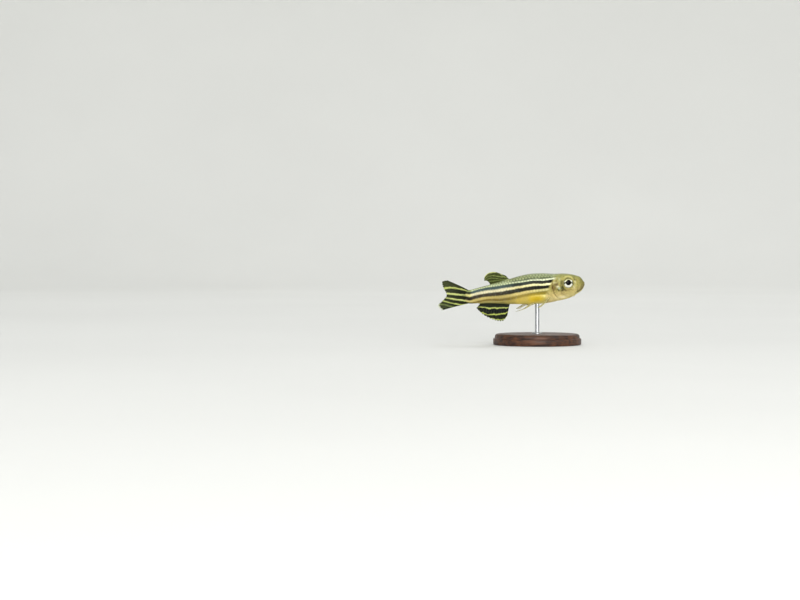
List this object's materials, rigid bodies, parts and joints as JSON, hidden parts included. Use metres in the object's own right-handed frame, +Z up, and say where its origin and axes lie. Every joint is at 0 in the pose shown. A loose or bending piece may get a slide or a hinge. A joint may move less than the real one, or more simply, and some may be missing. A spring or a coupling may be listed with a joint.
{
  "type": "zebra danio",
  "caption": "Life-size still model of a striped freshwater fish with spread fins, held level by a short rod on a round display stand.",
  "frame": {"origin": "centre of the stand base's underside", "axes": "+Z up, +X towards the fish's head, +Y towards the fish's left"},
  "size_m": [0.04, 0.024, 0.0199],
  "materials": {
    "skin": "satin, wet-looking scaled skin",
    "fin": "thin satin membrane with rays",
    "eye": "polished",
    "stand_wood": "dark, fine satin varnish",
    "stand_steel": "fine brushed"
  },
  "bodies": {
    "root": {"head": "skin", "gill_cover_left": "skin", "gill_cover_right": "skin", "trunk": "skin", "tail": "skin", "eye_left": "eye", "eye_right": "eye", "dorsal_fin": "fin", "anal_fin": "fin", "caudal_fin": "fin", "pelvic_fin_left": "fin", "pelvic_fin_right": "fin", "pectoral_fin_left": "fin", "pectoral_fin_right": "fin", "stand_base": "stand_wood", "stand_rod": "stand_steel"}
  },
  "joints": []
}
